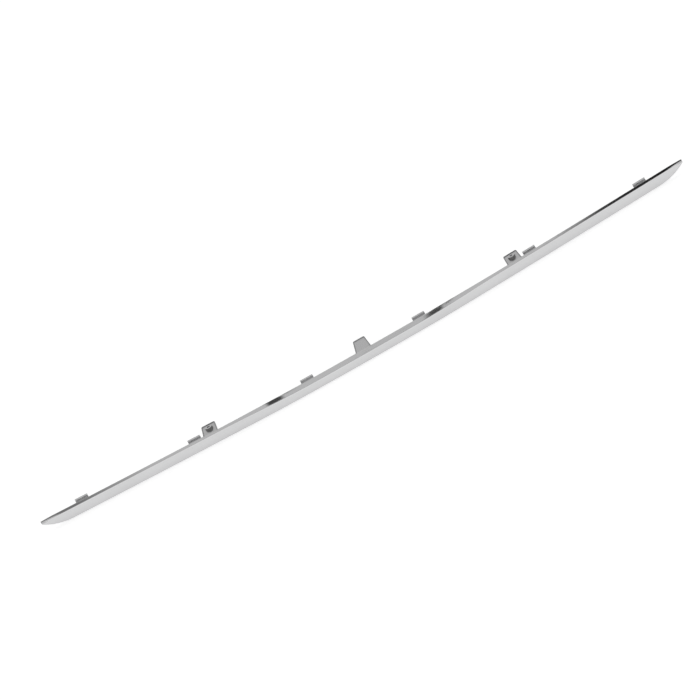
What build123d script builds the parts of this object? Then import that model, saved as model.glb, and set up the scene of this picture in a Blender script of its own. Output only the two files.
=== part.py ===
from build123d import *

import os
from math import asin, atan, ceil, cos, degrees, radians, sqrt, tan

# A bumper trim moulded in one piece and plated all over. It lies as it is fitted: +X runs along
# the car's width, -Y points forward and +Z up, and it stands on its flat lower edge.

# Line of the front in plan, from the middle outwards: three arcs that run into each other
TRIM_LENGTH = 1148.0
CENTRE_RADIUS = 6000.0
CENTRE_HALF = 70.0
SHOULDER_RADIUS = 1900.0
SHOULDER_LENGTH = 130.0
WING_RADIUS = 18000.0

# Section: a crowned face, a bevel that climbs rearward from it and a short return at the foot.
# Towards the wings the bevel narrows, steepens and starts higher.
WALL = 2.5
FACE_TOE = 0.8
FACE_LEAN = 1.0
NOSE_HEIGHT = 6.5
CROWN_RADIUS = 40.0
CREASE_ROUND = 0.7
EDGE_ROUND = 0.6
BEVEL_SLOPE = 25.0
BEVEL_SLOPE_WING = 38.0
CREASE_HEIGHT = 13.2
CREASE_HEIGHT_WING = 16.0
BEVEL_RUN = 10.0
BEVEL_RUN_WING = 4.4
RETURN_DEPTH = 7.6
RETURN_DEPTH_WING = 6.4
BLEND_START = 95.0
BLEND_LENGTH = 160.0

# The sections reach this far below the foot, and one level cut then trims it flat
FOOT_TRIM = 0.15

# Blade-like ends: the foot curves up to the bevel, the back curves forward and the front is round
TIP_LENGTH = 50.0
TIP_HEIGHT = 5.5
TIP_DEPTH = 5.0
TIP_ROUND = 2.0

# Hooks along the top edge, which catch behind the edge of the bumper skin
HOOK_COUNT = 6
HOOK_END_MARGIN = 74.0
HOOK_WIDTH = 22.0
HOOK_THICKNESS = 2.0
HOOK_REACH = 4.5
HOOK_LIP = 3.0
HOOK_ROUND = 0.7

# Tabs: a plain one in the middle and a screw tab each side
TAB_PITCH = 272.0
TAB_RISE = 16.0
TAB_THICKNESS = 2.4
TAB_ROUND = 2.5
CENTRE_TAB_ROOT = 27.0
CENTRE_TAB_END = 20.0
CENTRE_TAB_LENGTH = 28.0
SCREW_TAB_ROOT = 25.5
SCREW_TAB_END = 23.5
SCREW_TAB_LENGTH = 22.5
RIM_WIDTH = 1.6
RIM_HEIGHT = 0.9

# Screw boss on each outer tab
SCREW_HOLE = 5.0
BOSS_WALL = 3.6
BOSS_STAND = 1.0
BOSS_SETBACK = 12.5

# Webs that cross the channel behind each hook and each side of a tab
WEB_THICKNESS = 1.6
WEB_RECESS = 1.0
TAB_WEB_SPREAD = 15.0

# How deep hooks and tabs run into the top edge, and how far below its surface
ROOT = 1.6
ROOT_DROP = 0.3

# Spacing of the sections that the moulding is drawn through
SECTION_STEP = 50.0

# How far cuts run past the surfaces that they open
MARGIN = 8.0

HALF_LENGTH = TRIM_LENGTH / 2


def front_line(x):
    """Set-back of the front line at x, and its heading in degrees."""
    arcs = (
        (CENTRE_RADIUS, CENTRE_HALF),
        (SHOULDER_RADIUS, CENTRE_HALF + SHOULDER_LENGTH),
        (WING_RADIUS, HALF_LENGTH),
    )
    start, setback, sine = 0.0, 0.0, 0.0
    for radius, end in arcs:
        stop = max(start, min(end, abs(x)))
        next_sine = sine + (stop - start) / radius
        setback += radius * (sqrt(1 - sine**2) - sqrt(1 - next_sine**2))
        start, sine = stop, next_sine
    heading = degrees(asin(sine))
    return setback, heading if x > 0 else -heading


def widening(x, middle, wing):
    """A size that changes smoothly from its middle value to its wing value."""
    share = min(max((abs(x) - BLEND_START) / BLEND_LENGTH, 0.0), 1.0)
    share = share * share * (3 - 2 * share)
    return middle + (wing - middle) * share


def crease_height(x):
    return widening(x, CREASE_HEIGHT, CREASE_HEIGHT_WING)


def bevel_slope(x):
    """Climb of the bevel for each millimetre that it runs rearward."""
    return tan(radians(widening(x, BEVEL_SLOPE, BEVEL_SLOPE_WING)))


def top_depth(x):
    return FACE_LEAN + widening(x, BEVEL_RUN, BEVEL_RUN_WING)


def top_height(x):
    return crease_height(x) + (top_depth(x) - FACE_LEAN) * bevel_slope(x)


def return_depth(x):
    return widening(x, RETURN_DEPTH, RETURN_DEPTH_WING)


def outline(x, foot=0.0):
    """Corners of the filled section at x, as depth behind the front line and height."""
    return (
        Vector(FACE_TOE, foot),
        Vector(0, NOSE_HEIGHT),
        Vector(FACE_LEAN, crease_height(x)),
        Vector(top_depth(x), top_height(x)),
        Vector(return_depth(x), foot),
    )


def front_place(x, depth=0.0, height=0.0):
    """Location at a depth behind the front line: X along the trim, Y rearward and Z up."""
    setback, heading = front_line(x)
    return Location((x, setback, 0), (0, 0, heading)) * Pos(0, depth, height)


def across_trim(x):
    """Plane across the trim at x: its first axis points rearward and its second up."""
    return Plane(front_place(x) * Plane(origin=(0, 0, 0), x_dir=(0, 1, 0), z_dir=(1, 0, 0)).location)


def section_face(x):
    """Filled section at x, with its rounded corners."""
    radii = (EDGE_ROUND, CROWN_RADIUS, CREASE_ROUND, EDGE_ROUND, EDGE_ROUND)
    rounded = FilletPolyline(*outline(x, -FOOT_TRIM), radius=radii, close=True)
    return across_trim(x) * make_face(rounded.edges())


def inner_corner(before, here, after, inset):
    """Corner that lies inside a corner of the section by the inset."""
    first = (here - before).normalized()
    second = (after - here).normalized()
    half_turn = radians(first.get_angle(second)) / 2
    return here + (second - first).normalized() * (inset / cos(half_turn))


def channel_face(x, inset, behind):
    """Section of the space one inset inside the walls, which ends behind the section's back."""
    foot_front, nose, crease, top, foot_back = outline(x)
    inner_foot = inner_corner(foot_back, foot_front, nose, inset)
    inner_nose = inner_corner(foot_front, nose, crease, inset)
    inner_crease = inner_corner(nose, crease, top, inset)
    top_back = top.X + behind
    inner_top = Vector(top_back, inner_crease.Y + (top_back - inner_crease.X) * bevel_slope(x))
    back_foot = Vector(foot_back.X + behind, inner_foot.Y)
    corners = (inner_foot, inner_nose, inner_crease, inner_top, back_foot)
    return across_trim(x) * make_face(Polyline(*corners, close=True).edges())


def section_places():
    """Places of the sections, evenly spaced from tip to tip."""
    count = 2 * ceil(HALF_LENGTH / SECTION_STEP)
    return [HALF_LENGTH * (2 * i / count - 1) for i in range(count + 1)]


def past_tip_arc(rise, lift):
    """Flat region outside an arc that leaves a straight edge and climbs by rise over the tip."""
    radius = (TIP_LENGTH**2 + rise**2) / (2 * rise)
    block = Pos(0, -MARGIN) * Rectangle(
        TIP_LENGTH + MARGIN, rise + lift + 2 * MARGIN, align=(Align.MIN, Align.MIN)
    )
    return block - Pos(0, radius) * Circle(radius - lift)


def foot_cut(lift):
    """What the rising foot of the +X tip leaves out, raised by lift."""
    region = past_tip_arc(top_height(HALF_LENGTH) - TIP_HEIGHT, lift)
    upright = Plane(origin=(HALF_LENGTH - TIP_LENGTH, 0, 0), x_dir=(1, 0, 0), z_dir=(0, -1, 0))
    return extrude(upright * region, HALF_LENGTH, both=True)


def back_cut():
    """What the back of the +X tip leaves out as it narrows."""
    start = HALF_LENGTH - TIP_LENGTH
    deepest = max(top_depth(start), return_depth(start))
    region = mirror(past_tip_arc(deepest - TIP_DEPTH, 0), Plane.XZ)
    return front_place(start, deepest) * extrude(region, 2 * top_height(start), both=True)


def end_cut():
    """What the rounded front of the +X tip leaves out, square to the upper half of the face."""
    lean = degrees(atan(FACE_LEAN / (crease_height(HALF_LENGTH) - NOSE_HEIGHT)))
    reach = TIP_ROUND + MARGIN
    corner = Rectangle(reach, reach, align=(Align.MIN, Align.MAX)) - Circle(TIP_ROUND)
    upright = front_place(HALF_LENGTH, 0, NOSE_HEIGHT) * Rot(-lean, 0, 0)
    place = upright * Pos(-TIP_ROUND, TIP_ROUND, 0)
    return place * extrude(corner, 2 * top_height(HALF_LENGTH), both=True)


def both_ends(shape):
    return [shape, mirror(shape, Plane.YZ)]


def below_foot():
    """All that lies under the level of the foot."""
    reach = 2 * HALF_LENGTH + MARGIN
    return Box(reach, reach, MARGIN, align=(Align.CENTER, Align.CENTER, Align.MAX))


def channelled_body():
    """The long moulding: its walls, its open back and its two tips."""
    places = section_places()
    filled = loft([section_face(x) for x in places])
    filled -= [below_foot()] + both_ends(foot_cut(0)) + both_ends(back_cut())
    filled -= both_ends(end_cut())
    channel = loft([channel_face(x, WALL, MARGIN) for x in places])
    channel -= both_ends(foot_cut(WALL))
    return filled - channel


def web(x):
    """A thin wall across the channel, rooted halfway into the walls."""
    return extrude(channel_face(x, WALL / 2, -WEB_RECESS), WEB_THICKNESS / 2, both=True)


def at_back_edge(x):
    """Location at the rear of the top edge."""
    return front_place(x, top_depth(x), top_height(x))


def hook(x):
    """A lipped hook: an arm runs rearward from the top edge and turns up."""
    drop = ROOT * bevel_slope(x) + ROOT_DROP
    back = HOOK_REACH + HOOK_THICKNESS
    profile = (
        (-ROOT, -drop - HOOK_THICKNESS),
        (back, -drop - HOOK_THICKNESS),
        (back, HOOK_LIP),
        (HOOK_REACH, HOOK_LIP),
        (HOOK_REACH, -drop),
        (-ROOT, -drop),
    )
    radii = (0, HOOK_ROUND, HOOK_ROUND, HOOK_ROUND, HOOK_ROUND / 2, 0)
    rounded = FilletPolyline(*profile, radius=radii, close=True)
    side = Plane(origin=(-HOOK_WIDTH / 2, 0, 0), x_dir=(0, 1, 0), z_dir=(1, 0, 0))
    return at_back_edge(x) * extrude(side * make_face(rounded.edges()), HOOK_WIDTH)


def tab_place(x):
    """Location of a tab's root on its upper face, which climbs rearward from the top edge."""
    return at_back_edge(x) * Pos(0, 0, -ROOT * bevel_slope(x)) * Rot(TAB_RISE, 0, 0)


def tab(x, root_width, end_width, length):
    """A tapered plate with a raised rim."""
    corners = (
        (-root_width / 2, -ROOT),
        (root_width / 2, -ROOT),
        (end_width / 2, length),
        (-end_width / 2, length),
    )
    rounded = FilletPolyline(*corners, radius=(0, 0, TAB_ROUND, TAB_ROUND), close=True)
    shape = make_face(rounded.edges())
    pocket = offset(shape, -RIM_WIDTH)
    mouth = Pos(0, -ROOT) * Rectangle(root_width - 2 * RIM_WIDTH, 4 * RIM_WIDTH)
    plate = extrude(shape, RIM_HEIGHT) + extrude(shape, -TAB_THICKNESS)
    return tab_place(x) * (plate - extrude(pocket + mouth, RIM_HEIGHT))


def screw_centre(x):
    """Place of the screw hole at the upper face of the tab at x."""
    return (tab_place(x) * Pos(0, BOSS_SETBACK, 0)).position


def screw_boss(x):
    """A round boss with a level top, so that a screw's head sits flat on the sloping tab."""
    radius = SCREW_HOLE / 2 + BOSS_WALL
    climb = radius * tan(radians(TAB_RISE))
    top = screw_centre(x) + Vector(0, 0, climb + BOSS_STAND)
    height = 2 * climb + BOSS_STAND + TAB_THICKNESS
    return Pos(top) * Cylinder(radius, height, align=(Align.CENTER, Align.CENTER, Align.MAX))


def screw_hole(x):
    return Pos(screw_centre(x)) * Cylinder(SCREW_HOLE / 2, 2 * SCREW_TAB_LENGTH)


def hook_places():
    span = TRIM_LENGTH - 2 * HOOK_END_MARGIN
    return [span * (i / (HOOK_COUNT - 1) - 0.5) for i in range(HOOK_COUNT)]


def web_places():
    sides = (-TAB_WEB_SPREAD / 2, TAB_WEB_SPREAD / 2)
    return hook_places() + [x + side for x in (-TAB_PITCH, 0, TAB_PITCH) for side in sides]


def trim_moulding():
    """The whole trim: channel, webs, hooks and tabs are one moulding."""
    screw_tabs = (-TAB_PITCH, TAB_PITCH)
    added = [web(x) for x in web_places()]
    added += [hook(x) for x in hook_places()]
    added += [tab(0, CENTRE_TAB_ROOT, CENTRE_TAB_END, CENTRE_TAB_LENGTH)]
    for x in screw_tabs:
        added += [tab(x, SCREW_TAB_ROOT, SCREW_TAB_END, SCREW_TAB_LENGTH), screw_boss(x)]
    return channelled_body() + added - [screw_hole(x) for x in screw_tabs]


trim = trim_moulding()
box = trim.bounding_box()
middle = box.center()
to_floor = Pos(-middle.X, -middle.Y, -box.min.Z)
trim = to_floor * trim

os.makedirs("parts", exist_ok=True)
export_step(trim, "parts/trim_moulding.step")

size = box.size
print(f"trim {size.X:.2f} x {size.Y:.2f} x {size.Z:.2f} mm, volume {trim.volume:.0f} mm3")
print(f"solids {len(trim.solids())}, valid {trim.is_valid}, moved by {to_floor.position}")
for x in (-TAB_PITCH, TAB_PITCH):
    centre = to_floor * Pos(screw_centre(x))
    print("screw hole at", [round(value, 3) for value in centre.position])
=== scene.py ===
# %% [markdown]
# A bumper trim: one long, thin moulding of plastic, plated with chrome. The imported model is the
# frame that everything here is fitted to. Its box gives the place of the trim, and its sizes in
# millimetres are named again below, because the smooth mesh follows the same rules.

from math import asin, ceil, cos, pi, radians, sin, sqrt, tan

import bmesh
import bpy
from mathutils import Matrix, Vector


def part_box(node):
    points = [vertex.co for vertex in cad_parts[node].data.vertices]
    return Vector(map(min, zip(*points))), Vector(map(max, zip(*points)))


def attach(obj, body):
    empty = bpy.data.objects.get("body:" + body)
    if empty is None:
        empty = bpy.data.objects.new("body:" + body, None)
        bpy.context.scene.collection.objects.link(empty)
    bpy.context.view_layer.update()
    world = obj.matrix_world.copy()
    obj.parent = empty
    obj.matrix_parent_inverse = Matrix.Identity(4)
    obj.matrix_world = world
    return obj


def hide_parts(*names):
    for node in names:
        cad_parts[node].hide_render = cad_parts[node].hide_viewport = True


MM = 0.001

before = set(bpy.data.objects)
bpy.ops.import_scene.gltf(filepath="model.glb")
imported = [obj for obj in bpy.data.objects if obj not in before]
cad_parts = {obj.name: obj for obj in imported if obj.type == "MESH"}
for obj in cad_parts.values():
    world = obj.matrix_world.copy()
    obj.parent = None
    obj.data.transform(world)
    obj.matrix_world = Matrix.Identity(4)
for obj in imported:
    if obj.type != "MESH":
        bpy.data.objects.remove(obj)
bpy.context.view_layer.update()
lowest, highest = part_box("trim_moulding")
print("trim box in mm:", [round(value / MM, 1) for value in (highest - lowest)])

# %% [markdown]
# Chrome shows the room more than itself, so the camera comes first. It looks from the front, a
# little from above, through a long lens as a product photographer would use, and it is rolled,
# because the picture shows the trim rising to the right.

# %% Camera
CAMERA_AZIMUTH = radians(3)
CAMERA_ELEVATION = radians(22.31)
CAMERA_ROLL = radians(30.66)
CAMERA_DISTANCE = 9.0
CAMERA_LENS = 298.0
CAMERA_REACH = 100.0
AIM = Vector((-0.0191, 0.0004, 0.0219))


def add_camera():
    """The camera that takes the picture, rolled about its own line of sight."""
    across = Vector((cos(CAMERA_AZIMUTH), sin(CAMERA_AZIMUTH), 0))
    level = Vector((sin(CAMERA_AZIMUTH), -cos(CAMERA_AZIMUTH), 0))
    back = level * cos(CAMERA_ELEVATION) + Vector((0, 0, sin(CAMERA_ELEVATION)))
    up = back.cross(across)
    right = across * cos(CAMERA_ROLL) - up * sin(CAMERA_ROLL)
    upward = across * sin(CAMERA_ROLL) + up * cos(CAMERA_ROLL)
    camera = bpy.data.objects.new("camera", bpy.data.cameras.new("camera"))
    camera.data.lens = CAMERA_LENS
    camera.data.clip_end = CAMERA_REACH
    turn = Matrix((right, upward, back)).transposed().to_4x4()
    camera.matrix_world = Matrix.Translation(AIM + back * CAMERA_DISTANCE) @ turn
    bpy.context.scene.collection.objects.link(camera)
    bpy.context.scene.camera = camera
    return camera


camera = add_camera()
bpy.context.scene.view_settings.view_transform = "Standard"
print("camera at", [round(value, 3) for value in camera.location])

# %% [markdown]
# Every node tree below is built with a few small helpers. The first adds a node, sets its
# properties and fills its inputs, either with plain values or with the outputs of other nodes.
# The others add what comes up again and again.

# %% Helpers for node trees
def add_node(tree, kind, inputs=(), **settings):
    """A new node; inputs maps a socket's name or number to a value or to another node's output."""
    node = tree.nodes.new(kind)
    for name, value in settings.items():
        setattr(node, name, value)
    for key, value in dict(inputs).items():
        if isinstance(value, bpy.types.NodeSocket):
            tree.links.new(value, node.inputs[key])
        else:
            node.inputs[key].default_value = value
    return node


def maths(tree, operation, *values):
    """The output of a Math node."""
    return add_node(tree, "ShaderNodeMath", dict(enumerate(values)), operation=operation).outputs[0]


def add_sockets(tree, inputs, outputs):
    """Named inputs, each with its kind and default, and named outputs."""
    for name, (kind, default) in inputs.items():
        socket = tree.interface.new_socket(name, in_out="INPUT", socket_type="NodeSocket" + kind)
        if default is not None:
            socket.default_value = default
    for name, kind in outputs.items():
        tree.interface.new_socket(name, in_out="OUTPUT", socket_type="NodeSocket" + kind)


def mapped(tree, value, before, after, smooth=False):
    """Value taken from the range before to the range after, evenly or with soft ends."""
    ends = {"From Min": before[0], "From Max": before[1], "To Min": after[0], "To Max": after[1]}
    kind = "SMOOTHSTEP" if smooth else "LINEAR"
    return add_node(tree, "ShaderNodeMapRange", {"Value": value} | ends, interpolation_type=kind).outputs[0]


def stored(tree, name, data_type="FLOAT"):
    """The value that each point carries under this name."""
    node = add_node(tree, "GeometryNodeInputNamedAttribute", {"Name": name}, data_type=data_type)
    return node.outputs["Attribute"]


def grey(tree, tone):
    """A colour with one tone in all three channels."""
    return add_node(tree, "ShaderNodeCombineColor", {0: tone, 1: tone, 2: tone}).outputs[0]


def empty_material(name):
    """A material whose node tree is still empty."""
    material = bpy.data.materials.new(name)
    material.use_nodes = True
    material.node_tree.nodes.clear()
    return material


# %% [markdown]
# A mirror needs something to mirror. The studio is a pale tent: white all round, with a soft
# grey ceiling, and dark cards hung above it. A photographer hangs such cards so that chrome gets
# its dark lines. Each card is a soft-edged four-sided patch of the sky, written as a shader
# group, and placed by where it would hang on a ceiling one metre above the trim.

# %% A card as a shader group
def card_group():
    """Mask of a soft-edged card on the ceiling, from 0 outside it to 1 on it."""
    tree = bpy.data.node_groups.new("ceiling_card", "ShaderNodeTree")
    names = ("Across", "Along", "Centre Across", "Centre Along", "Half Width", "Half Depth", "Slant")
    edges = {"Side Softness": ("Float", 0.01), "End Softness": ("Float", 0.01)}
    add_sockets(tree, {name: ("Float", 0.0) for name in names} | edges, {"Mask": "Float"})
    start = add_node(tree, "NodeGroupInput").outputs
    along = maths(tree, "SUBTRACT", start["Along"], start["Centre Along"])
    shift = maths(tree, "MULTIPLY", along, start["Slant"])
    across = maths(tree, "SUBTRACT", start["Across"], start["Centre Across"])
    across = maths(tree, "SUBTRACT", across, shift)
    masks = []
    for offset, half, edge in ((across, "Half Width", "Side"), (along, "Half Depth", "End")):
        outside = maths(tree, "SUBTRACT", maths(tree, "ABSOLUTE", offset), start[half])
        masks.append(mapped(tree, outside, (0.0, start[edge + " Softness"]), (1.0, 0.0), smooth=True))
    add_node(tree, "NodeGroupOutput", {"Mask": maths(tree, "MULTIPLY", *masks)})
    return tree


CEILING_CARD = card_group()
print("card group with", len(CEILING_CARD.nodes), "nodes")

# %% [markdown]
# The world holds the tent. A direction is turned into a place on the ceiling by dividing it by
# its height. The camera itself sees plain white beyond the floor, and so do mirrors near the
# horizon.

# %% World
WALL_LIGHT = 1.0
CEILING_LIGHT = 0.72
CEILING_START = 0.25
HORIZON_MARGIN = 0.001
CARDS = {
    "low black card": dict(
        at=(-0.06, 0.162), half=(0.014, 0.034), soft=(0.004, 0.035), slant=0.156, light=0.07
    ),
    "high black card": dict(
        at=(-0.0355, 0.269), half=(0.0125, 0.029), soft=(0.004, 0.01), slant=0.0, light=0.04
    ),
    "black card to the right": dict(
        at=(0.353, -0.25), half=(0.25, 0.3), soft=(0.018, 0.25), slant=0.0, light=0.02
    ),
    "grey card to the left": dict(
        at=(-0.2575, -0.14), half=(0.045, 0.06), soft=(0.03, 0.1), slant=0.0, light=0.24
    ),
    "black card to the left": dict(
        at=(-0.6, -0.2), half=(0.28, 0.3), soft=(0.05, 0.2), slant=0.0, light=0.02
    ),
}


def add_world():
    """White walls, a soft grey ceiling and the dark cards under it."""
    world = bpy.data.worlds.new("studio_tent")
    world.use_nodes = True
    tree = world.node_tree
    tree.nodes.clear()
    direction = add_node(tree, "ShaderNodeTexCoord").outputs["Generated"]
    axes = add_node(tree, "ShaderNodeSeparateXYZ", {0: direction}).outputs
    height = maths(tree, "MAXIMUM", axes["Z"], HORIZON_MARGIN)
    across = maths(tree, "DIVIDE", axes["X"], height)
    along = maths(tree, "DIVIDE", axes["Y"], height)
    light = mapped(tree, axes["Z"], (0.0, CEILING_START), (WALL_LIGHT, CEILING_LIGHT), smooth=True)
    for name, card in CARDS.items():
        values = {"Across": across, "Along": along, "Slant": card["slant"]}
        values |= {"Centre Across": card["at"][0], "Centre Along": card["at"][1]}
        values |= {"Half Width": card["half"][0], "Half Depth": card["half"][1]}
        values |= {"Side Softness": card["soft"][0], "End Softness": card["soft"][1]}
        node = add_node(tree, "ShaderNodeGroup", values, node_tree=CEILING_CARD, label=name)
        light = mapped(tree, node.outputs["Mask"], (0.0, 1.0), (light, card["light"]))
    background = add_node(tree, "ShaderNodeBackground", {"Color": (1, 1, 1, 1), "Strength": light})
    white = add_node(tree, "ShaderNodeBackground", {"Color": (1, 1, 1, 1), "Strength": 1.0})
    seen = add_node(tree, "ShaderNodeLightPath").outputs["Is Camera Ray"]
    shader = add_node(tree, "ShaderNodeMixShader", {0: seen, 1: background.outputs[0], 2: white.outputs[0]})
    add_node(tree, "ShaderNodeOutputWorld", {"Surface": shader.outputs[0]})
    bpy.context.scene.world = world


add_world()
print("studio with", len(CARDS), "cards")

# %% [markdown]
# The floor is a wide pale sheet that the trim stands on. It is lit like any surface, so it keeps
# the trim's soft shadow, and a little light of its own lifts it to white for the camera and for
# mirrors.

# %% Floor
FLOOR_SIZE = 60.0
FLOOR_TONE = (0.8, 0.81)
FLOOR_CLOUDS = 3.0
FLOOR_GLOW = 0.56


def add_floor():
    """A flat sheet at the level of the trim's foot."""
    mesh = bpy.data.meshes.new("floor")
    half = FLOOR_SIZE / 2
    corners = [(x, y, lowest.z) for x, y in ((-half, -half), (half, -half), (half, half), (-half, half))]
    mesh.from_pydata(corners, [], [(0, 1, 2, 3)])
    material = empty_material("floor_sheet")
    tree = material.node_tree
    place = add_node(tree, "ShaderNodeTexCoord").outputs["Object"]
    clouds = {"Vector": place, "Scale": FLOOR_CLOUDS, "Detail": 2.0}
    cloud = add_node(tree, "ShaderNodeTexNoise", clouds).outputs["Fac"]
    tone = mapped(tree, cloud, (0.0, 1.0), FLOOR_TONE)
    paper = add_node(tree, "ShaderNodeBsdfDiffuse", {"Color": grey(tree, tone)})
    path = add_node(tree, "ShaderNodeLightPath").outputs
    seen = maths(tree, "MAXIMUM", path["Is Camera Ray"], path["Is Glossy Ray"])
    seen = maths(tree, "MAXIMUM", seen, path["Is Transmission Ray"])
    glow = add_node(tree, "ShaderNodeEmission", {"Strength": maths(tree, "MULTIPLY", seen, FLOOR_GLOW)})
    shader = add_node(tree, "ShaderNodeAddShader", {0: paper.outputs[0], 1: glow.outputs[0]})
    add_node(tree, "ShaderNodeOutputMaterial", {"Surface": shader.outputs[0]})
    mesh.materials.append(material)
    floor = bpy.data.objects.new("floor", mesh)
    bpy.context.scene.collection.objects.link(floor)


add_floor()
print("floor of", FLOOR_SIZE, "metres at height", round(lowest.z, 4))

# %% [markdown]
# The plan line of the trim is three arcs that run into each other: a nearly straight middle, a
# shoulder each side and long straight wings. A small rule gives the set-back and the heading at
# any place, and the path of the moulding is a line of stations on it. The stations crowd
# together at the tips, where the shape changes fastest.

# %% Plan line
TRIM_LENGTH = 1148 * MM
CENTRE_RADIUS = 6000 * MM
CENTRE_HALF = 70 * MM
SHOULDER_RADIUS = 1900 * MM
SHOULDER_LENGTH = 130 * MM
WING_RADIUS = 18000 * MM
HALF_LENGTH = TRIM_LENGTH / 2
TIP_LENGTH = 50 * MM
TIP_ROUND = 2 * MM
STATION_STEP = 4 * MM
ROUND_STATIONS = 10
END_TRIM = 0.12 * MM


def front_line(x):
    """Set-back of the front line at x, and its heading."""
    arcs = (
        (CENTRE_RADIUS, CENTRE_HALF),
        (SHOULDER_RADIUS, CENTRE_HALF + SHOULDER_LENGTH),
        (WING_RADIUS, HALF_LENGTH),
    )
    start, setback, sine = 0.0, 0.0, 0.0
    for radius, end in arcs:
        stop = max(start, min(end, abs(x)))
        next_sine = sine + (stop - start) / radius
        setback += radius * (sqrt(1 - sine**2) - sqrt(1 - next_sine**2))
        start, sine = stop, next_sine
    return setback, asin(sine) if x > 0 else -asin(sine)


def stations(half):
    """Places from -half to half, close together where the ends are rounded."""
    inner = half - TIP_ROUND
    count = ceil(inner / STATION_STEP)
    right = [inner * i / count for i in range(count + 1)]
    right += [inner + TIP_ROUND * sin(pi / 2 * i / ROUND_STATIONS) for i in range(1, ROUND_STATIONS + 1)]
    return [-x for x in reversed(right[1:])] + right


tip_setback = front_line(HALF_LENGTH)[0]
print("stations:", len(stations(HALF_LENGTH)), "tip set back by", round(tip_setback / MM, 1), "mm")

# %% [markdown]
# Across the trim, the section is a crowned face, a bevel that climbs rearward and a short return
# at the foot. It is known in the middle and on the wings, and its sizes go smoothly from one to
# the other through the shoulders. The space inside its walls follows from the same corners.

# %% Section
FACE_TOE = 0.8 * MM
FACE_LEAN = 1.0 * MM
NOSE_HEIGHT = 6.5 * MM
CROWN_RADIUS = 40 * MM
CREASE_ROUND = 0.7 * MM
EDGE_ROUND = 0.6 * MM
INNER_ROUND = 0.4 * MM
WALL = 2.5 * MM
BLEND_START = 95 * MM
BLEND_LENGTH = 160 * MM
TIP_HEIGHT = 5.5 * MM
TIP_DEPTH = 5 * MM
MIDDLE = dict(crease=13.2 * MM, run=10 * MM, slope=radians(25), foot_depth=7.6 * MM)
WING = dict(crease=16 * MM, run=4.4 * MM, slope=radians(38), foot_depth=6.4 * MM)


def blended(key, x):
    """A size of the section at x, which goes smoothly from the middle's to the wing's."""
    share = min(max((abs(x) - BLEND_START) / BLEND_LENGTH, 0.0), 1.0)
    return MIDDLE[key] + (WING[key] - MIDDLE[key]) * share * share * (3 - 2 * share)


def section_at(x):
    """All the sizes of the section at x."""
    return {key: blended(key, x) for key in MIDDLE}


def outline(section):
    """Corners of the filled section, as depth behind the front line and height."""
    top = section["crease"] + section["run"] * tan(section["slope"])
    return [
        Vector((FACE_TOE, 0)),
        Vector((0, NOSE_HEIGHT)),
        Vector((FACE_LEAN, section["crease"])),
        Vector((FACE_LEAN + section["run"], top)),
        Vector((section["foot_depth"], 0)),
    ]


def inner_corner(before, here, after, inset):
    """Corner that lies inside a corner of the section by the inset."""
    first = (here - before).normalized()
    second = (after - here).normalized()
    return here + (second - first).normalized() * (inset / cos(first.angle(second) / 2))


def inner_outline(section, inset, behind):
    """Corners of the space inside the walls, ending behind the section's back."""
    foot_front, nose, crease, top, foot_back = outline(section)
    inner_foot = inner_corner(foot_back, foot_front, nose, inset)
    inner_nose = inner_corner(foot_front, nose, crease, inset)
    inner_crease = inner_corner(nose, crease, top, inset)
    back = top.x + behind
    inner_top = Vector((back, inner_crease.y + (back - inner_crease.x) * tan(section["slope"])))
    return [inner_foot, inner_nose, inner_crease, inner_top, Vector((foot_back.x + behind, inner_foot.y))]


top_edges = [round(outline(section)[3].y / MM, 1) for section in (MIDDLE, WING)]
print("top edge in the middle and on the wings, mm:", top_edges)

# %% [markdown]
# An outline becomes a closed ring of points, with an arc at each corner. The crown of the face is
# such an arc too. The ring is made for the middle and for the wings with the same number of
# points, so that the sweep can blend them. Its foremost point touches the front of the packed
# box, which puts the front line in its place.

# %% Rings and front line
SHELL_ARCS = (6, 16, 8, 6, 6)
SHELL_SIDES = 4


def rounded(corners, radii, arc_steps, side_steps):
    """Closed ring: each corner becomes an arc, and each side is cut into even steps."""
    ring = []
    for i, here in enumerate(corners):
        before, after = corners[i - 1], corners[(i + 1) % len(corners)]
        arrive, leave = (here - before).normalized(), (after - here).normalized()
        half_turn = arrive.angle(leave) / 2
        start = here - arrive * radii[i] * tan(half_turn)
        centre = here + (leave - arrive).normalized() * (radii[i] / cos(half_turn))
        turn = 2 * half_turn * (1 if arrive.cross(leave) > 0 else -1)
        if ring:
            ring += [ring[-1].lerp(start, j / side_steps) for j in range(1, side_steps)]
        for j in range(arc_steps[i] + 1):
            step = Matrix.Rotation(turn * j / max(arc_steps[i], 1), 2)
            ring.append(centre + step @ (start - centre))
    ring += [ring[-1].lerp(ring[0], j / side_steps) for j in range(1, side_steps)]
    return ring


def front_place(x, depth=0.0, height=0.0):
    """Matrix of a place behind the front line: X along the trim, Y rearward and Z up."""
    setback, heading = front_line(x)
    origin = Vector((x, FRONT + setback, lowest.z))
    turned = Matrix.Translation(origin) @ Matrix.Rotation(heading, 4, "Z")
    return turned @ Matrix.Translation((0, depth, height))


shell_radii = (EDGE_ROUND, CROWN_RADIUS, CREASE_ROUND, EDGE_ROUND, EDGE_ROUND)
shell_corners = [outline(section) for section in (MIDDLE, WING)]
shell_rings = [rounded(corners, shell_radii, SHELL_ARCS, SHELL_SIDES) for corners in shell_corners]
FRONT = lowest.y - min(point.x for point in shell_rings[0])
print("section ring of", len(shell_rings[0]), "points; front line at y", round(FRONT / MM, 2), "mm")

# %% [markdown]
# The sweep follows a few rules, each written as nodes. Sizes go smoothly from the middle's to the
# wing's. At the tips, the foot rises in one arc, the back comes forward in a second, and the end
# is rounded in plan by a third.

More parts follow.
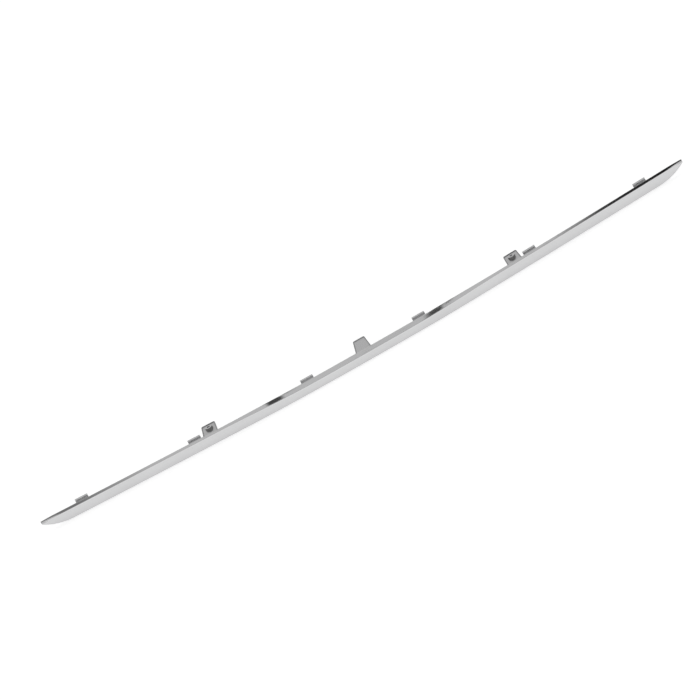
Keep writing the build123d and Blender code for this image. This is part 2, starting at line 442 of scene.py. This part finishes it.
# %% Sweep rules
SWEEP_INPUTS = {
    "Path": ("Object", None),
    "Blend Start": ("Float", BLEND_START),
    "Blend Length": ("Float", BLEND_LENGTH),
    "Bevel Run": ("Float", MIDDLE["run"]),
    "Bevel Run Wing": ("Float", WING["run"]),
    "Bevel Slope": ("Float", MIDDLE["slope"]),
    "Bevel Slope Wing": ("Float", WING["slope"]),
    "Tip Start": ("Float", HALF_LENGTH - TIP_LENGTH),
    "Round Start": ("Float", HALF_LENGTH - TIP_ROUND),
    "Round Radius": ("Float", TIP_ROUND),
    "Foot Radius": ("Float", 1.0),
    "Back Radius": ("Float", 1.0),
    "Back Depth": ("Float", 1.0),
    "Squeeze Top": ("Float", WING["crease"]),
    "Squeeze Base": ("Float", 0.0),
    "Finish": ("Material", None),
}


def smooth_blend(tree, start, x, middle, wing):
    """A size that goes smoothly from its middle value to its wing value."""
    end = maths(tree, "ADD", start["Blend Start"], start["Blend Length"])
    return mapped(tree, x, (start["Blend Start"], end), (middle, wing), smooth=True)


def arc_drop(tree, x, begin, radius):
    """How far an arc has left its tangent at x, where it begins at begin."""
    past = maths(tree, "MAXIMUM", maths(tree, "SUBTRACT", x, begin), 0.0)
    square = maths(tree, "SUBTRACT", maths(tree, "POWER", radius, 2.0), maths(tree, "POWER", past, 2.0))
    root = maths(tree, "SQRT", maths(tree, "MAXIMUM", square, 0.0))
    return maths(tree, "SUBTRACT", radius, root)


def section_place(tree, start, x):
    """Depth and height of a ring's point in the section at x, and the bevel's slope there."""
    slopes = (start["Bevel Slope"], start["Bevel Slope Wing"])
    slope = maths(tree, "TANGENT", smooth_blend(tree, start, x, *slopes))
    runs = (start["Bevel Run"], start["Bevel Run Wing"])
    run = smooth_blend(tree, start, x, *runs)
    tangents = [maths(tree, "TANGENT", value) for value in slopes]
    rises = [maths(tree, "MULTIPLY", *pair) for pair in zip(runs, tangents)]
    rise = maths(tree, "MULTIPLY", run, slope)
    extra = maths(tree, "SUBTRACT", rise, smooth_blend(tree, start, x, *rises))
    depth = smooth_blend(tree, start, x, stored(tree, "depth_middle"), stored(tree, "depth_wing"))
    height = smooth_blend(tree, start, x, stored(tree, "height_middle"), stored(tree, "height_wing"))
    return depth, maths(tree, "MULTIPLY_ADD", stored(tree, "lift"), extra, height), slope


def squeezed_place(tree, start, x, depth, height, slope):
    """The same point after the back has come forward and the foot has risen at the tips."""
    narrowing = arc_drop(tree, x, start["Tip Start"], start["Back Radius"])
    limit = maths(tree, "SUBTRACT", start["Back Depth"], narrowing)
    reach = stored(tree, "reach")
    back = maths(tree, "MINIMUM", reach, limit)
    kept = mapped(tree, back, (FACE_LEAN, reach), (0.0, 1.0))
    behind_lean = maths(tree, "MAXIMUM", maths(tree, "SUBTRACT", depth, FACE_LEAN), 0.0)
    lost = maths(tree, "MULTIPLY", behind_lean, maths(tree, "SUBTRACT", 1.0, kept))
    moved = maths(tree, "SUBTRACT", depth, lost)
    cut = arc_drop(tree, x, start["Round Start"], start["Round Radius"])
    moved = maths(tree, "ADD", moved, mapped(tree, moved, (FACE_LEAN, back), (cut, 0.0)))
    shift = maths(tree, "MULTIPLY", maths(tree, "SUBTRACT", moved, depth), slope)
    height = maths(tree, "MULTIPLY_ADD", stored(tree, "follow"), shift, height)
    foot = arc_drop(tree, x, start["Tip Start"], start["Foot Radius"])
    ends = (start["Squeeze Base"], start["Squeeze Top"])
    return moved, maths(tree, "ADD", height, mapped(tree, height, ends, (foot, 0.0)))


print("inputs of the sweep:", len(SWEEP_INPUTS))

# %% [markdown]
# A node tree sweeps the ring along the path. Curve to Mesh makes the skin and its end caps. On a
# ring that runs this way round it leaves them facing inwards, so they are flipped. Then every
# point is put where the rules say. The same tree makes the shell and the channel that is cut out
# of its back.

# %% Sweep tree
def sweep_tree():
    """Sweeps a ring along the path by the rules of the trim."""
    tree = bpy.data.node_groups.new("trim_sweep", "GeometryNodeTree")
    add_sockets(tree, {"Ring": ("Geometry", None)} | SWEEP_INPUTS, {"Skin": "Geometry"})
    start = add_node(tree, "NodeGroupInput").outputs
    path = add_node(tree, "GeometryNodeObjectInfo", {"Object": start["Path"]}).outputs["Geometry"]
    path = add_node(tree, "GeometryNodeMeshToCurve", {"Mesh": path}).outputs[0]
    ring = add_node(tree, "GeometryNodeMeshToCurve", {"Mesh": start["Ring"]}).outputs[0]
    sweep = {"Curve": path, "Profile Curve": ring, "Fill Caps": True}
    skin = add_node(tree, "GeometryNodeCurveToMesh", sweep).outputs[0]
    skin = add_node(tree, "GeometryNodeFlipFaces", {"Mesh": skin}).outputs[0]

    station = stored(tree, "station", "FLOAT_VECTOR")
    x = maths(tree, "ABSOLUTE", add_node(tree, "ShaderNodeSeparateXYZ", {0: station}).outputs["X"])
    depth, height = squeezed_place(tree, start, x, *section_place(tree, start, x))
    rearward = {0: stored(tree, "rearward", "FLOAT_VECTOR"), "Scale": depth}
    rearward = add_node(tree, "ShaderNodeVectorMath", rearward, operation="SCALE").outputs[0]
    upward = add_node(tree, "ShaderNodeCombineXYZ", {"Z": height}).outputs[0]
    place = add_node(tree, "ShaderNodeVectorMath", {0: station, 1: rearward}, operation="ADD").outputs[0]
    place = add_node(tree, "ShaderNodeVectorMath", {0: place, 1: upward}, operation="ADD").outputs[0]
    skin = add_node(tree, "GeometryNodeSetPosition", {"Geometry": skin, "Position": place}).outputs[0]
    skin = add_node(tree, "GeometryNodeRealizeInstances", {0: skin}).outputs[0]
    finish = {"Geometry": skin, "Material": start["Finish"]}
    skin = add_node(tree, "GeometryNodeSetMaterial", finish).outputs[0]
    add_node(tree, "NodeGroupOutput", {"Skin": skin})
    return tree


TRIM_SWEEP = sweep_tree()
print("sweep tree with", len(TRIM_SWEEP.nodes), "nodes")

# %% [markdown]
# A tree's result is turned into a plain mesh at once, so that nothing live is left on a piece.
# The helpers below make the path and the rings as small meshes whose points carry the values
# that the tree reads.

# %% Run a tree
KEPT_ATTRIBUTES = ("sharp_face", "material_index")


def mesh_object(name, points, edges=(), faces=()):
    """A mesh object in the scene, made of these points."""
    mesh = bpy.data.meshes.new(name)
    mesh.from_pydata(points, edges, faces)
    made = bpy.data.objects.new(name, mesh)
    bpy.context.scene.collection.objects.link(made)
    return made


def store(mesh, name, kind, values):
    """Adds a point attribute; a vector's values are given one after another."""
    field = "vector" if kind == "FLOAT_VECTOR" else "value"
    mesh.attributes.new(name, kind, "POINT").data.foreach_set(field, values)


def plain(carrier, name):
    """The evaluated carrier as a plain mesh object; the carrier and its modifiers go."""
    bpy.context.view_layer.update()
    graph = bpy.context.evaluated_depsgraph_get()
    mesh = bpy.data.meshes.new_from_object(carrier.evaluated_get(graph))
    mesh.name = name
    bpy.data.objects.remove(carrier)
    made = bpy.data.objects.new(name, mesh)
    bpy.context.scene.collection.objects.link(made)
    return made


def grown(name, carrier, tree, values):
    """What a tree with these named inputs makes of the carrier."""
    modifier = carrier.modifiers.new(tree.name, "NODES")
    modifier.node_group = tree
    for item in tree.interface.items_tree:
        if item.in_out == "INPUT" and item.name in values:
            modifier[item.identifier] = values[item.name]
    made = plain(carrier, name)
    for attribute in [a.name for a in made.data.attributes if not a.is_internal and not a.is_required]:
        if attribute not in KEPT_ATTRIBUTES:
            made.data.attributes.remove(made.data.attributes[attribute])
    return made


def path_object(name, half):
    """A line of stations along the plan line, with the rearward direction at each."""
    places = [front_place(x) for x in stations(half)]
    line = mesh_object(name, [m.translation for m in places], [(i, i + 1) for i in range(len(places) - 1)])
    store(line.data, "station", "FLOAT_VECTOR", [v for m in places for v in m.translation])
    store(line.data, "rearward", "FLOAT_VECTOR", [v for m in places for v in m.col[1].xyz])
    return line


def ring_object(name, middle, wing, crease):
    """A closed ring whose points carry both their places and how they follow the bevel."""
    top = max(point.y for point in wing)
    foot_back = max(point.x for point in wing if point.y < top / 2)
    bevel_back = max(point.x for point in wing if point.y >= top / 2)
    lifts, follows, reaches = [], [], []
    for point in wing:
        share = min(max(point.y / top, 0), 1)
        on_bevel = point.y >= crease.y
        on_back = not on_bevel and point.x > foot_back / 2
        lifts.append(min(max((point.x - crease.x) / WING["run"], 0), 1) if on_bevel else share * on_back)
        follows.append(1.0 if on_bevel else share * on_back)
        reaches.append(bevel_back if on_bevel else foot_back + (bevel_back - foot_back) * share)
    count = len(middle)
    ring = mesh_object(name, [(p.x, p.y, 0) for p in middle], [(i, (i + 1) % count) for i in range(count)])
    for end, points in (("middle", middle), ("wing", wing)):
        store(ring.data, "depth_" + end, "FLOAT", [p.x for p in points])
        store(ring.data, "height_" + end, "FLOAT", [p.y for p in points])
    for key, values in (("lift", lifts), ("follow", follows), ("reach", reaches)):
        store(ring.data, key, "FLOAT", values)
    return ring


# %% [markdown]
# All the finishes share one group, which puts out the small unevenness that keeps real plating
# from looking like an ideal mirror: a faint haze, a slight waviness from moulding and fine
# wiping marks along the strip.

# %% Plating group
FINISH_SIZES = {"Haze Size": 0.09, "Wave Size": 0.035, "Mark Size": 0.0012, "Mark Depth": 0.15}
HAZE_SPAN = (0.35, 0.7)
MARK_SPAN = (0.55, 0.75)
MARK_STRETCH = (0.02, 1, 1)


def plating_group():
    """Haze mask, wiping marks and surface height of plated plastic."""
    tree = bpy.data.node_groups.new("plating_finish", "ShaderNodeTree")
    inputs = {name: ("Float", value) for name, value in FINISH_SIZES.items()}
    add_sockets(tree, inputs, {"Haze": "Float", "Marks": "Float", "Height": "Float"})
    start = add_node(tree, "NodeGroupInput").outputs
    place = add_node(tree, "ShaderNodeTexCoord").outputs["Object"]

    def noise(size, detail, stretch=(1, 1, 1)):
        scale = maths(tree, "DIVIDE", 1.0, size)
        drawn = add_node(tree, "ShaderNodeVectorMath", {0: place, 1: stretch}, operation="MULTIPLY")
        clouds = {"Vector": drawn.outputs[0], "Scale": scale, "Detail": detail}
        return add_node(tree, "ShaderNodeTexNoise", clouds).outputs["Fac"]

    haze = mapped(tree, noise(start["Haze Size"], detail=4.0), HAZE_SPAN, (0.0, 1.0))
    marks = noise(start["Mark Size"], stretch=MARK_STRETCH, detail=3.0)
    marks = mapped(tree, marks, MARK_SPAN, (0.0, 1.0))
    wave = noise(start["Wave Size"], detail=1.0)
    height = maths(tree, "MULTIPLY_ADD", marks, maths(tree, "MULTIPLY", start["Mark Depth"], -1.0), wave)
    add_node(tree, "NodeGroupOutput", {"Haze": haze, "Marks": marks, "Height": height})
    return tree


PLATING_FINISH = plating_group()
print("plating group with", len(PLATING_FINISH.nodes), "nodes")

# %% [markdown]
# The plating is a bright mirror outside. On the rear side, the hooks and the tabs, where the bath
# reaches less well, it comes out duller. On the thin raised rims of the tabs it is darker: painted
# shade, standing for the dark that the rims reflect. The sides of the bosses round the screw holes
# are dark and not metallic.

# %% Finishes
# The colour sockets of a Mix node, which share their names with its plain ones.
MIX_FROM, MIX_TO, MIX_RESULT = 6, 7, 2


def plating(name, colour, haze_tint, roughness, relief):
    """A metal that takes its unevenness from the plating group."""
    material = empty_material(name)
    tree = material.node_tree
    finish = add_node(tree, "ShaderNodeGroup", node_tree=PLATING_FINISH).outputs
    rough = mapped(tree, finish["Haze"], (0.0, 1.0), roughness)
    rough = maths(tree, "MULTIPLY_ADD", finish["Marks"], roughness[0], rough)
    hazy = [haze_tint * value for value in colour]
    tones = {0: finish["Haze"], MIX_FROM: (*colour, 1), MIX_TO: (*hazy, 1)}
    tone = add_node(tree, "ShaderNodeMix", tones, data_type="RGBA").outputs[MIX_RESULT]
    bump = {"Height": finish["Height"], "Distance": relief, "Strength": 1.0}
    normal = add_node(tree, "ShaderNodeBump", bump).outputs[0]
    surface = {"Base Color": tone, "Roughness": rough, "Normal": normal, "Metallic": 1.0}
    shader = add_node(tree, "ShaderNodeBsdfPrincipled", surface)
    add_node(tree, "ShaderNodeOutputMaterial", {"Surface": shader.outputs[0]})
    return material


def bare_plastic(name, tones, roughness):
    """Dark plastic without plating."""
    material = empty_material(name)
    tree = material.node_tree
    haze = add_node(tree, "ShaderNodeGroup", node_tree=PLATING_FINISH).outputs["Haze"]
    colour = grey(tree, mapped(tree, haze, (0.0, 1.0), tones))
    rough = mapped(tree, haze, (0.0, 1.0), roughness)
    shader = add_node(tree, "ShaderNodeBsdfPrincipled", {"Base Color": colour, "Roughness": rough})
    add_node(tree, "ShaderNodeOutputMaterial", {"Surface": shader.outputs[0]})
    return material


# Dark, rough and not metallic, for the sides of the bosses round the screw holes.
DARK_BOSS_SIDES = bare_plastic("masked_plastic", tones=(0.15, 0.2), roughness=(0.4, 0.55))
BRIGHT_PLATING = plating(
    "bright_plating", colour=(0.63, 0.63, 0.635), haze_tint=0.97, roughness=(0.035, 0.06), relief=0.02 * MM
)
DULL_PLATING = plating(
    "dull_plating", colour=(0.58, 0.58, 0.585), haze_tint=0.9, roughness=(0.22, 0.32), relief=0.05 * MM
)
# Its dark colour is painted shade, standing for the dark that the tab rims reflect.
RIM_PLATING_PAINTED_SHADE = plating(
    "rim_plating", colour=(0.36, 0.36, 0.365), haze_tint=0.9, roughness=(0.3, 0.4), relief=0.05 * MM
)
finishes = (BRIGHT_PLATING, DULL_PLATING, RIM_PLATING_PAINTED_SHADE, DARK_BOSS_SIDES)
print("materials:", [finish.name for finish in finishes])

# %% [markdown]
# The shell and the channel are both grown by the sweep. The shell ends a hair short of the packed
# tips, to stay inside their box. The channel sits one wall inside the shell, is open to the rear,
# and ends where the rising foot of the tip leaves no room for it.

# %% Shell and channel
CHANNEL_MOUTH = 1 * MM
CHANNEL_END = 1 * MM
CREASE_MARGIN = 0.9 * MM
CHANNEL_ARCS = (3, 8, 3, 0, 0)
CHANNEL_SIDES = 2
WING_TOP = outline(WING)[3].y


def arc_radius(rise):
    """Radius of the arc that leaves a straight edge and climbs by rise over the tip."""
    return (TIP_LENGTH**2 + rise**2) / (2 * rise)


FOOT_RADIUS = arc_radius(WING_TOP - TIP_HEIGHT)
BACK_RADIUS = arc_radius(WING["foot_depth"] - TIP_DEPTH)


def swept(name, half, rings, crease, values):
    """A closed skin grown along the plan line, from -half to half."""
    path = path_object("path", half)
    ring = ring_object("ring", *rings, crease)
    made = grown(name, ring, TRIM_SWEEP, {"Path": path, "Foot Radius": FOOT_RADIUS} | values)
    bpy.data.objects.remove(path)
    return made


shell_values = {
    "Back Radius": BACK_RADIUS,
    "Back Depth": WING["foot_depth"],
    "Squeeze Top": WING["crease"] + CREASE_MARGIN,
    "Finish": BRIGHT_PLATING,
}
trim = swept("trim_moulding_look", HALF_LENGTH - END_TRIM, shell_rings, outline(WING)[2], shell_values)

channel_corners = [inner_outline(section, WALL, CHANNEL_MOUTH) for section in (MIDDLE, WING)]
channel_radii = (INNER_ROUND, CROWN_RADIUS - WALL, INNER_ROUND, 0, 0)
channel_rings = [rounded(corners, channel_radii, CHANNEL_ARCS, CHANNEL_SIDES) for corners in channel_corners]
inner_crease = channel_corners[1][2]
room = inner_crease.y - WALL - CHANNEL_END
channel_half = HALF_LENGTH - TIP_LENGTH + sqrt(2 * FOOT_RADIUS * room - room**2)
channel_values = {"Squeeze Base": WALL, "Squeeze Top": inner_crease.y, "Finish": DULL_PLATING}
channel = swept("channel", channel_half, channel_rings, inner_crease, channel_values)
print("shell faces:", len(trim.data.polygons), "channel faces:", len(channel.data.polygons))

# %% [markdown]
# Webs cross the channel at the hooks and beside the tabs. Each is cut from the section at its
# own place, half a wall larger than the channel, so that it is rooted in the walls.

# %% Webs
HOOK_COUNT = 6
HOOK_END_MARGIN = 74 * MM
TAB_PITCH = 272 * MM
TAB_WEB_SPREAD = 15 * MM
WEB_THICKNESS = 1.6 * MM
WEB_RECESS = 1.0 * MM
SOFT_EDGE = 0.25 * MM
SOFT_STEPS = 2
SOFT_ANGLE = radians(40)
HOOK_SPAN = TRIM_LENGTH - 2 * HOOK_END_MARGIN
HOOK_PLACES = [HOOK_SPAN * (i / (HOOK_COUNT - 1) - 0.5) for i in range(HOOK_COUNT)]
TAB_PLACES = (-TAB_PITCH, 0.0, TAB_PITCH)


def softened(made, materials, edge):
    """The object with its faces outward, its edges bevelled and its materials in slots."""
    for material in materials:
        made.data.materials.append(material)
    form = bmesh.new()
    form.from_mesh(made.data)
    bmesh.ops.recalc_face_normals(form, faces=form.faces)
    form.to_mesh(made.data)
    form.free()
    bevel = made.modifiers.new("soft_edges", "BEVEL")
    bevel.width = edge
    bevel.segments = SOFT_STEPS
    bevel.limit_method = "ANGLE"
    bevel.angle_limit = SOFT_ANGLE
    return plain(made, made.name)


def prism(name, corners, start, end, place, material):
    """A flat outline of (Y, Z) corners, drawn out along X from start to end, with soft edges."""
    count = len(corners)
    points = [place @ Vector((x, c[0], c[1])) for x in (start, end) for c in corners]
    faces = [tuple(reversed(range(count))), tuple(range(count, 2 * count))]
    faces += [((i - 1) % count, i, i + count, (i - 1) % count + count) for i in range(count)]
    return softened(mesh_object(name, points, [], faces), [material], SOFT_EDGE)


web_places = HOOK_PLACES + [x + side * TAB_WEB_SPREAD / 2 for x in TAB_PLACES for side in (-1, 1)]
webs = []
for x in web_places:
    corners = inner_outline(section_at(x), WALL / 2, -WEB_RECESS)
    webs.append(prism("web", corners, -WEB_THICKNESS / 2, WEB_THICKNESS / 2, front_place(x), DULL_PLATING))
print("webs:", len(webs))

# %% [markdown]
# Six equal hooks stand along the top edge. One hook is modelled, and a small node tree puts a
# copy on each seat, turned to the trim's heading there. Its lip is lifted by what the seat lies
# below the edge, so that all the lips end at the same height above it.

# %% Hooks
HOOK_WIDTH = 22 * MM
HOOK_THICKNESS = 2 * MM
HOOK_REACH = 4.5 * MM
HOOK_LIP = 3 * MM
HOOK_ROUND = 0.7 * MM
HOOK_ARCS = (0, 4, 4, 4, 3, 0)
ROOT = 1.6 * MM
ROOT_DROP = 0.3 * MM


def back_edge(x):
    """Place of the rear of the top edge."""
    corner = outline(section_at(x))[3]
    return front_place(x, corner.x, corner.y)


def root_fall(x):
    """How far the bevel falls over the depth of a root."""
    return ROOT * tan(section_at(x)["slope"])


def hook_row_tree():
    """A copy of the hook on every seat."""
    tree = bpy.data.node_groups.new("hook_row", "GeometryNodeTree")
    inputs = {"Seats": ("Geometry", None), "Hook": ("Object", None), "Finish": ("Material", None)}
    add_sockets(tree, inputs, {"Hooks": "Geometry"})
    start = add_node(tree, "NodeGroupInput").outputs
    hook = add_node(tree, "GeometryNodeObjectInfo", {"Object": start["Hook"]}).outputs["Geometry"]
    turn = add_node(tree, "ShaderNodeCombineXYZ", {"Z": stored(tree, "heading")}).outputs[0]
    row = {"Points": start["Seats"], "Instance": hook, "Rotation": turn}
    row = add_node(tree, "GeometryNodeInstanceOnPoints", row).outputs[0]
    row = add_node(tree, "GeometryNodeRealizeInstances", {0: row}).outputs[0]
    rise = maths(tree, "MULTIPLY", stored(tree, "lip"), stored(tree, "drop"))
    offset = add_node(tree, "ShaderNodeCombineXYZ", {"Z": rise}).outputs[0]
    row = add_node(tree, "GeometryNodeSetPosition", {"Geometry": row, "Offset": offset}).outputs[0]
    row = add_node(tree, "GeometryNodeSetMaterial", {"Geometry": row, "Material": start["Finish"]}).outputs[0]
    add_node(tree, "NodeGroupOutput", {"Hooks": row})
    return tree


def hook_object():
    """One hook about its seat: an arm runs rearward from the edge and turns up."""
    back = HOOK_REACH + HOOK_THICKNESS
    underside = [(-ROOT, -HOOK_THICKNESS), (back, -HOOK_THICKNESS)]
    lip = [(back, HOOK_LIP), (HOOK_REACH, HOOK_LIP)]
    corners = underside + lip + [(HOOK_REACH, 0), (-ROOT, 0)]
    radii = (0, HOOK_ROUND, HOOK_ROUND, HOOK_ROUND, HOOK_ROUND / 2, 0)
    ring = rounded([Vector(corner) for corner in corners], radii, HOOK_ARCS, 1)
    hook = prism("hook", ring, -HOOK_WIDTH / 2, HOOK_WIDTH / 2, Matrix(), DULL_PLATING)
    store(hook.data, "lip", "FLOAT", [1.0 if v.co.z > HOOK_LIP / 2 else 0.0 for v in hook.data.vertices])
    return hook


drops = [root_fall(x) + ROOT_DROP for x in HOOK_PLACES]
edge_points = [back_edge(x).translation for x in HOOK_PLACES]
seats = mesh_object("seats", [point - Vector((0, 0, drop)) for point, drop in zip(edge_points, drops)])
store(seats.data, "heading", "FLOAT", [front_line(x)[1] for x in HOOK_PLACES])
store(seats.data, "drop", "FLOAT", drops)
hook = hook_object()
hooks = grown("hooks", seats, hook_row_tree(), {"Hook": hook, "Finish": DULL_PLATING})
bpy.data.objects.remove(hook)
print("hooks:", HOOK_COUNT, "with", len(hooks.data.polygons), "faces")

# %% [markdown]
# Three tabs climb rearward from the top edge. Each is a tapered plate with a raised rim round a
# shallow pocket that is open towards the trim.

# %% Tabs
TAB_RISE = radians(16)
TAB_THICKNESS = 2.4 * MM
TAB_ROUND = 2.5 * MM
CENTRE_TAB = dict(root_width=27 * MM, end_width=20 * MM, length=28 * MM)
SCREW_TAB = dict(root_width=25.5 * MM, end_width=23.5 * MM, length=22.5 * MM)
RIM_WIDTH = 1.6 * MM
RIM_HEIGHT = 0.9 * MM
TAB_ARCS = (0, 6, 6, 0)


def tab_place(x):
    """Matrix of a tab's root on its upper face, which climbs rearward from the top edge."""
    return back_edge(x) @ Matrix.Translation((0, 0, -root_fall(x))) @ Matrix.Rotation(TAB_RISE, 4, "X")


def tab_ring(root_width, end_width, length, inset):
    """Open outline of a tab, from one end of its root round to the other."""
    lean = (root_width - end_width) / 2 / (length + ROOT)
    side = inset * sqrt(1 + lean**2)
    end = length - inset
    half_root, half_end = root_width / 2 - side, end_width / 2 - side + lean * inset
    corners = [(half_root, -ROOT), (half_end, end), (-half_end, end), (-half_root, -ROOT)]
    radius = TAB_ROUND - inset
    return rounded([Vector(corner) for corner in corners], (0, radius, radius, 0), TAB_ARCS, 1)


def tab(x, sizes):
    """A plate whose rim, pocket and underside share one run of points round the outline."""
    outer, pocket = (tab_ring(**sizes, inset=inset) for inset in (0, RIM_WIDTH))
    levels = ((outer, -TAB_THICKNESS), (outer, RIM_HEIGHT), (pocket, RIM_HEIGHT), (pocket, 0.0))
    place = tab_place(x)
    points = [place @ Vector((p.x, p.y, height)) for ring, height in levels for p in ring]
    count = len(outer)
    rows = range(len(levels))
    starts = [row * count + i for row in rows[:-1] for i in range(count - 1)]
    faces = [(i, i + 1, i + 1 + count, i + count) for i in starts]
    faces += [tuple(range(count)), tuple(range(rows[-1] * count, len(points)))]
    root_end = [row * count for row in rows] + [(row + 1) * count - 1 for row in reversed(rows)]
    plate = mesh_object("tab", points, [], faces + [tuple(root_end)])
    # The rim's walls and top take the rim plating, whose darker colour is painted shade.
    for face in plate.data.polygons[: len(starts)]:
        face.material_index = 1
    return softened(plate, [DULL_PLATING, RIM_PLATING_PAINTED_SHADE], SOFT_EDGE)


tabs = [tab(x, SCREW_TAB if x else CENTRE_TAB) for x in TAB_PLACES]
print("tabs:", len(tabs), "with", sum(len(plate.data.polygons) for plate in tabs), "faces")

# %% [markdown]
# The outer two tabs carry a round boss with dark, non-metallic sides and a level, plated seat on
# top, and a screw hole goes upright through each.

# %% Bosses and screw holes
SCREW_RADIUS = 2.5 * MM
BOSS_WALL = 3.6 * MM
BOSS_STAND = 1 * MM
BOSS_SETBACK = 12.5 * MM
BOSS_RADIUS = SCREW_RADIUS + BOSS_WALL
BOSS_CLIMB = BOSS_RADIUS * tan(TAB_RISE)
BOSS_SIDES = 48
DRILL_REACH = 20 * MM
SEAT_UP = 0.9


def cylinder(name, radius, top, height, materials, edge):
    """An upright cylinder under the point top."""
    turns = [2 * pi * i / BOSS_SIDES for i in range(BOSS_SIDES)]
    points = [top + Vector((radius * cos(t), radius * sin(t), -drop)) for drop in (0, height) for t in turns]
    count = BOSS_SIDES
    faces = [tuple(range(count)), tuple(range(count, 2 * count))]
    faces += [(i, (i + 1) % count, (i + 1) % count + count, i + count) for i in range(count)]
    return softened(mesh_object(name, points, [], faces), materials, edge)


def screw_centre(x):
    """Place of the screw hole at the upper face of the tab at x."""
    return tab_place(x) @ Vector((0, BOSS_SETBACK, 0))


def boss(x):
    """The boss of the tab at x; only its top is plated."""
    top = screw_centre(x) + Vector((0, 0, BOSS_CLIMB + BOSS_STAND))
    height = 2 * BOSS_CLIMB + BOSS_STAND + TAB_THICKNESS
    made = cylinder("boss", BOSS_RADIUS, top, height, [DARK_BOSS_SIDES, DULL_PLATING], SOFT_EDGE)
    for face in made.data.polygons:
        face.material_index = 1 if face.normal.z > SEAT_UP else 0
    return made


def drill(x):
    """What the screw hole takes out of the tab at x and its boss."""
    top = screw_centre(x) + Vector((0, 0, DRILL_REACH))
    return cylinder("drill", SCREW_RADIUS, top, 2 * DRILL_REACH, [DULL_PLATING], 0.0)


SCREW_PLACES = (-TAB_PITCH, TAB_PITCH)
bosses_and_drills = [(boss(x), drill(x)) for x in SCREW_PLACES]
print("screw holes at x in mm:", [round(screw_centre(x).x / MM, 1) for x in SCREW_PLACES])

# %% [markdown]
# The parts are joined as the mould joins them, into one closed skin. The screw tabs get their
# bosses and holes first, while they are small and simple. Then the channel is cut out of the
# shell, and one boolean adds all the other parts at once. After that, broad faces are shaded
# smooth, and edges that turn by more than a set angle stay crisp.

# %% Join into one moulding
SHARP_ANGLE = radians(38)
MERGE_DISTANCE = 0.002 * MM
SHORTEST_EDGE = 0.001 * MM


def combined(body, operation, parts):
    """Body with the parts added to it or cut out of it; the parts go."""
    group = bpy.data.collections.new(operation.lower())
    for part in parts:
        group.objects.link(part)
    step = body.modifiers.new(operation.lower(), "BOOLEAN")
    step.operation = operation
    step.solver = "EXACT"
    step.operand_type = "COLLECTION"
    step.collection = group
    step.material_mode = "TRANSFER"
    made = plain(body, body.name)
    for part in parts:
        bpy.data.objects.remove(part)
    bpy.data.collections.remove(group)
    return made


def shaded(body):
    """Smooth shading that follows the broad faces, with crisp edges at steep turns."""
    form = bmesh.new()
    form.from_mesh(body.data)
    bmesh.ops.remove_doubles(form, verts=form.verts, dist=MERGE_DISTANCE)
    bmesh.ops.dissolve_degenerate(form, edges=form.edges, dist=SHORTEST_EDGE)
    bmesh.ops.recalc_face_normals(form, faces=form.faces)
    open_edges = sum(1 for edge in form.edges if len(edge.link_faces) != 2)
    form.to_mesh(body.data)
    form.free()
    body.data.shade_smooth()
    body.data.set_sharp_from_angle(angle=SHARP_ANGLE)
    weighted = body.modifiers.new("weighted_normals", "WEIGHTED_NORMAL")
    weighted.keep_sharp = True
    print("edges without two faces:", open_edges)
    return plain(body, body.name)


screw_tabs = []
for plate, (raised, hole) in zip((tabs[0], tabs[-1]), bosses_and_drills):
    solid_tab = combined(plate, "UNION", [raised])
    screw_tabs.append(combined(solid_tab, "DIFFERENCE", [hole]))
trim = combined(trim, "DIFFERENCE", [channel])
trim = combined(trim, "UNION", webs + [hooks, tabs[1]] + screw_tabs)
trim = shaded(trim)
print("faces:", len(trim.data.polygons), "materials:", [m.name for m in trim.data.materials])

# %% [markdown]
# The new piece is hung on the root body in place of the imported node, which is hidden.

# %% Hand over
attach(trim, "root")
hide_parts("trim_moulding")
